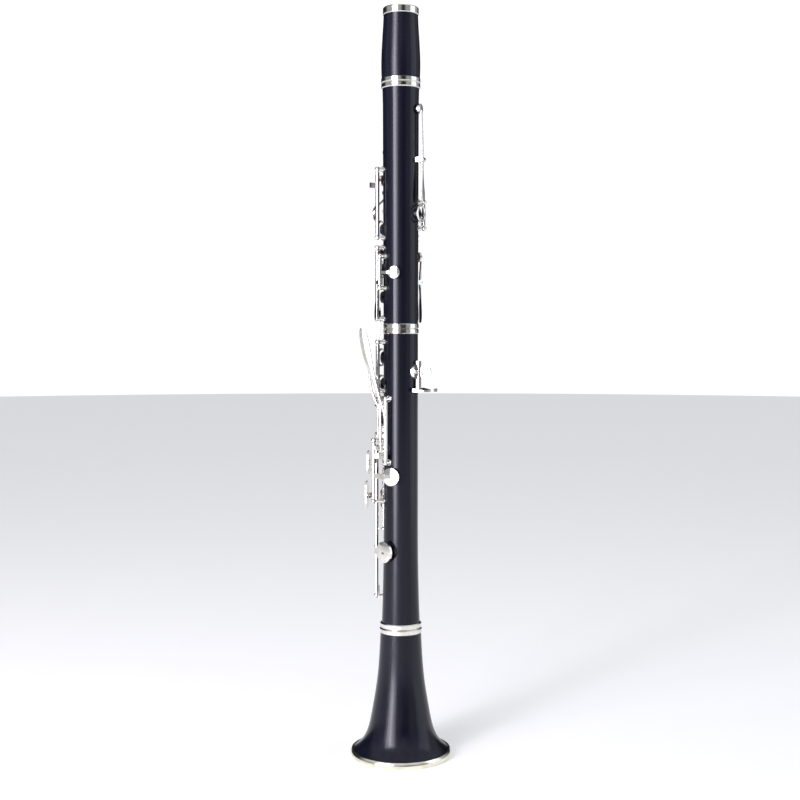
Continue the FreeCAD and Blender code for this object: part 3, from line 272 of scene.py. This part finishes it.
def disc_of(name):
    """Centre, axis towards the bore, radius and thickness of a flat round CAD node."""
    mesh = frame["nodes"][name].data
    flats = {}
    for face in mesh.polygons:
        normal = tuple(round(v, 2) for v in face.normal)
        flats[normal] = flats.get(normal, 0) + face.area
    axis = Vector(max(flats, key=flats.get)).normalized()
    points = [v.co for v in mesh.vertices]
    middle = centre_of(points)
    if axis.dot(Vector((middle.x, middle.y, 0))) > 0:
        axis = -axis
    reach = [axis.dot(p) for p in points]
    across = max((p - axis * axis.dot(p) - middle + axis * axis.dot(middle)).length for p in points)
    foot = (min(reach) + max(reach)) / 2
    return middle + axis * (foot - axis.dot(middle)), axis, across, max(reach) - min(reach)


# ---------------------------------------------------------------- pads

PAD_R = 5 * MM
PAD_THICK = 1.7 * MM
PAD_EASE = 0.985
# Rings of the pad's face from its edge inwards: width and rise in mm. The dip is where the seat presses.
PAD_STEPS = ((0.30, 0.0), (0.55, 0.02), (0.30, -0.11), (0.35, 0.0), (0.30, 0.09), (1.4, 0.03))


def make_pad_master():
    """A felt pad in its skin: a rounded edge, a crowned face and the ring that its seat has pressed in."""
    deselect_all()
    bpy.ops.mesh.primitive_cylinder_add(vertices=56, radius=PAD_R, depth=PAD_THICK, end_fill_type="NGON")
    piece = named("pad_master", skin)
    bpy.ops.object.mode_set(mode="EDIT")
    select_faces(piece, lambda face: face.normal.z > 0.9)
    bpy.ops.mesh.bevel(offset=0.42 * MM, segments=4, affect="EDGES")
    for width, rise in PAD_STEPS:
        select_faces(piece, lambda face: face.normal.z > 0.9 and len(face.verts) > 8)
        bpy.ops.mesh.inset(thickness=width * MM, depth=rise * MM)
    bpy.ops.object.mode_set(mode="OBJECT")
    bpy.ops.object.shade_smooth_by_angle(angle=math.radians(50))
    return piece


pad_master = make_pad_master()
bodies = frame["record"]["behaviour"]["bodies"]
body_of_node = {name: body for body, names in bodies.items() for name in names}
for part in frame["record"]["subparts"]:
    name = part["node"]
    if part["material_slot"] != "pad_skin":
        continue
    middle, axis, radius, thick = disc_of(name)
    size = Matrix.Diagonal((radius / PAD_R, radius / PAD_R, thick / PAD_THICK * PAD_EASE, 1))
    place = Matrix.Translation(middle) @ looking(axis) @ size
    pad = copy_to(pad_master, name + "_skin", place, skin)
    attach(pad, body_of_node[name])
    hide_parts(name)
drop(pad_master)

# ---------------------------------------------------------------- slotted screws


def make_screw_master(radius, depth, dome, slot_width, slot_depth):
    """A screw's head with a rounded rim and a cut slot. Its foot is at the origin and it faces +Z."""
    deselect_all()
    bpy.ops.mesh.primitive_cylinder_add(vertices=32, radius=radius, depth=depth, location=(0, 0, depth / 2))
    piece = named("screw_master", rod_steel)
    bpy.ops.object.transform_apply(location=True, rotation=True, scale=True)
    bpy.ops.object.mode_set(mode="EDIT")
    select_faces(piece, lambda face: face.normal.z > 0.9)
    bpy.ops.mesh.inset(thickness=radius * 0.35, depth=dome * 0.6)
    bpy.ops.mesh.inset(thickness=radius * 0.35, depth=dome * 0.4)
    bpy.ops.object.mode_set(mode="OBJECT")
    deselect_all()
    bpy.ops.mesh.primitive_cube_add(size=1, location=(0, 0, depth + dome))
    cutter = bpy.context.object
    cutter.scale = (3 * radius, slot_width, 2 * (slot_depth + dome))
    bpy.ops.object.transform_apply(location=True, rotation=True, scale=True)
    deselect_all()
    piece.select_set(True)
    bpy.context.view_layer.objects.active = piece
    cut = piece.modifiers.new("slot", "BOOLEAN")
    cut.operation = "DIFFERENCE"
    cut.solver = "EXACT"
    cut.object = cutter
    bpy.ops.object.modifier_apply(modifier=cut.name)
    edge = piece.modifiers.new("edge", "BEVEL")
    edge.width = 0.05 * MM
    edge.segments = 2
    edge.limit_method = "ANGLE"
    edge.angle_limit = math.radians(40)
    bpy.ops.object.modifier_apply(modifier=edge.name)
    bpy.ops.object.shade_smooth_by_angle(angle=math.radians(35))
    drop(cutter)
    return piece


def separate_solids(name):
    """The points of each separate solid of a CAD node."""
    mesh = bmesh.new()
    mesh.from_mesh(frame["nodes"][name].data)
    bmesh.ops.remove_doubles(mesh, verts=mesh.verts, dist=0.002 * MM)
    left = set(mesh.verts)
    groups = []
    while left:
        stack = [next(iter(left))]
        left.discard(stack[0])
        points = []
        while stack:
            vertex = stack.pop()
            points.append(vertex.co.copy())
            for edge in vertex.link_edges:
                other = edge.other_vert(vertex)
                if other in left:
                    left.discard(other)
                    stack.append(other)
        groups.append(points)
    mesh.free()
    return sorted(groups, key=lambda points: tuple(round(v, 5) for v in centre_of(points)))


def rod_end(points):
    """The upper end of a rod, or a pin's end on the finger side, with the direction that it faces."""
    middle = centre_of(points)
    far = max(points, key=lambda p: ((p - middle).length, p.z, -p.y))
    opposite = max(points, key=lambda p: (p - far).length)
    if abs(far.z - opposite.z) > 4 * MM:
        axis = Vector((0, 0, 1))
    else:
        out = Vector((middle.x, middle.y, 0)).normalized()
        axis = Vector((out.y, -out.x, 0))
        if axis.y > 0:
            axis = -axis
    reach = max(axis.dot(p) for p in points)
    return middle + axis * (reach - axis.dot(middle)), axis


rod_screw = make_screw_master(0.82 * MM, 0.42 * MM, 0.10 * MM, 0.30 * MM, 0.22 * MM)
for rods in ("upper_hinge_rods", "lower_hinge_rods"):
    for number, points in enumerate(separate_solids(rods)):
        place, axis = rod_end(points)
        head = copy_to(rod_screw, "%s_head_%d" % (rods, number + 1),
                       Matrix.Translation(place) @ looking(axis), rod_steel)
        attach(head, body_of_node[rods])
drop(rod_screw)

# ---------------------------------------------------------------- camera

# Level with the middle of the instrument, one metre off, 25 degrees behind the player's left hand side.
CAMERA_ANGLE = math.radians(25)
CAMERA_DISTANCE = 1.03
CAMERA_HEIGHT = 0.335

toward = Vector((math.cos(CAMERA_ANGLE), math.sin(CAMERA_ANGLE), 0))
lens = bpy.data.cameras.new("camera")
lens.lens = 58.5
lens.sensor_width = 36
lens.shift_x = -0.001
lens.shift_y = -0.086
camera = bpy.data.objects.new("camera", lens)
camera.location = toward * CAMERA_DISTANCE + Vector((0, 0, CAMERA_HEIGHT))
camera.rotation_mode = "QUATERNION"
camera.rotation_quaternion = toward.to_track_quat("Z", "Y")
bpy.context.scene.collection.objects.link(camera)
bpy.context.scene.camera = camera

# ---------------------------------------------------------------- studio

# How bright each side of the tent is, and how far the cloth's middle is turned from the camera in degrees.
WALLS = 0.42
ROOF = 0.85
CLOTH = 0.06
GROUND = 1.05
CLOTH_TURN = 16

FLOOR_RADIUS = 6
FLOOR_DROP = 0.1 * MM

def soft_box(name, angle, distance, height, width, tall, power, tint):
    """A soft box facing the instrument's axis. Its angle is from the camera's side, positive to the left."""
    panel = bpy.data.lights.new(name, "AREA")
    panel.shape = "RECTANGLE"
    panel.size = width
    panel.size_y = tall
    panel.energy = power
    panel.color = colour(tint)[:3]
    box = bpy.data.objects.new(name, panel)
    away = Matrix.Rotation(-math.radians(angle), 3, "Z") @ toward
    box.location = away * distance + Vector((0, 0, height))
    box.rotation_mode = "QUATERNION"
    box.rotation_quaternion = away.to_track_quat("Z", "Y")
    box.visible_camera = False
    bpy.context.scene.collection.objects.link(box)


soft_box("left_soft_box", 38, 1.3, 0.45, 0.8, 1.5, 27, "#f0eeff")
soft_box("left_strip", 37, 1.2, 0.38, 0.2, 1.4, 14, "#f4ecff")
soft_box("right_soft_box", -84, 1.3, 0.45, 0.9, 1.5, 5, "#e6efff")


def light_tent():
    """The tent round the instrument: a bright roof, dimmer walls, black cloth by the camera and at the back.

    The camera sees a white ground instead. The cloth only gives the plated edges their dark outline.
    """
    world = bpy.data.worlds.new("light tent")
    world.use_nodes = True
    tree = world.node_tree
    tree.nodes.clear()
    place = add(tree, "ShaderNodeTexCoord")
    apart = add(tree, "ShaderNodeSeparateXYZ", links={"Vector": place.outputs["Generated"]})
    roof = add(tree, "ShaderNodeMapRange",
               {"interpolation_type": "SMOOTHSTEP", "From Min": 0.25, "From Max": 0.75,
                "To Min": WALLS, "To Max": ROOF}, {"Value": apart.outputs["Z"]})
    middle = Matrix.Rotation(math.radians(CLOTH_TURN), 3, "Z") @ toward
    facing = add(tree, "ShaderNodeVectorMath", {"operation": "DOT_PRODUCT", 1: tuple(middle)},
                 {0: place.outputs["Generated"]})
    opening = add(tree, "ShaderNodeMapRange",
                  {"interpolation_type": "SMOOTHSTEP", "From Min": 0.92, "From Max": 0.97,
                   "To Min": 1.0, "To Max": CLOTH}, {"Value": facing.outputs["Value"]})
    behind = add(tree, "ShaderNodeMapRange",
                 {"interpolation_type": "SMOOTHSTEP", "From Min": -0.62, "From Max": -0.28,
                  "To Min": CLOTH, "To Max": 1.0}, {"Value": facing.outputs["Value"]})
    sides = add(tree, "ShaderNodeMath", {"operation": "MULTIPLY"},
                {0: behind.outputs["Result"], 1: opening.outputs["Result"]})
    level = add(tree, "ShaderNodeMath", {"operation": "MULTIPLY"},
                {0: roof.outputs["Result"], 1: sides.outputs["Value"]})
    lit = add(tree, "ShaderNodeBackground", {"Color": colour("#f4f6ff")},
              {"Strength": level.outputs["Value"]})
    ground = add(tree, "ShaderNodeBackground", {"Color": (1, 1, 1, 1), "Strength": GROUND})
    ray = add(tree, "ShaderNodeLightPath")
    both = add(tree, "ShaderNodeMixShader",
               links={0: ray.outputs["Is Camera Ray"], 1: lit.outputs["Background"],
                      2: ground.outputs["Background"]})
    add(tree, "ShaderNodeOutputWorld", links={"Surface": both.outputs["Shader"]})
    bpy.context.scene.world = world


def make_floor():
    """A plain pale table top that glows evenly, as a light table does, with no edge in view."""
    deselect_all()
    bpy.ops.mesh.primitive_circle_add(vertices=96, radius=FLOOR_RADIUS, fill_type="NGON",
                                      location=(0, 0, -FLOOR_DROP))
    bpy.ops.object.transform_apply(location=True, rotation=True, scale=True)
    floor = bpy.context.object
    floor.name = "table_top"
    material, tree, place = new_material("table top, matt white laminate")
    speckle = add(tree, "ShaderNodeTexNoise", {"Scale": 1 / (40 * MM), "Detail": 2.0}, {"Vector": place})
    tint = add(tree, "ShaderNodeMix", {"data_type": "RGBA", 6: colour("#e6e6e2"), 7: colour("#e2e2de")},
               {0: speckle.outputs["Fac"]})
    finish_material(tree, {"Roughness": 0.7, "Emission Color": (1, 1, 1, 1), "Emission Strength": 0.3},
                    {"Base Color": tint.outputs[2]})
    floor.data.materials.append(material)


light_tent()
make_floor()
deselect_all()
bpy.context.scene.view_settings.view_transform = "Standard"
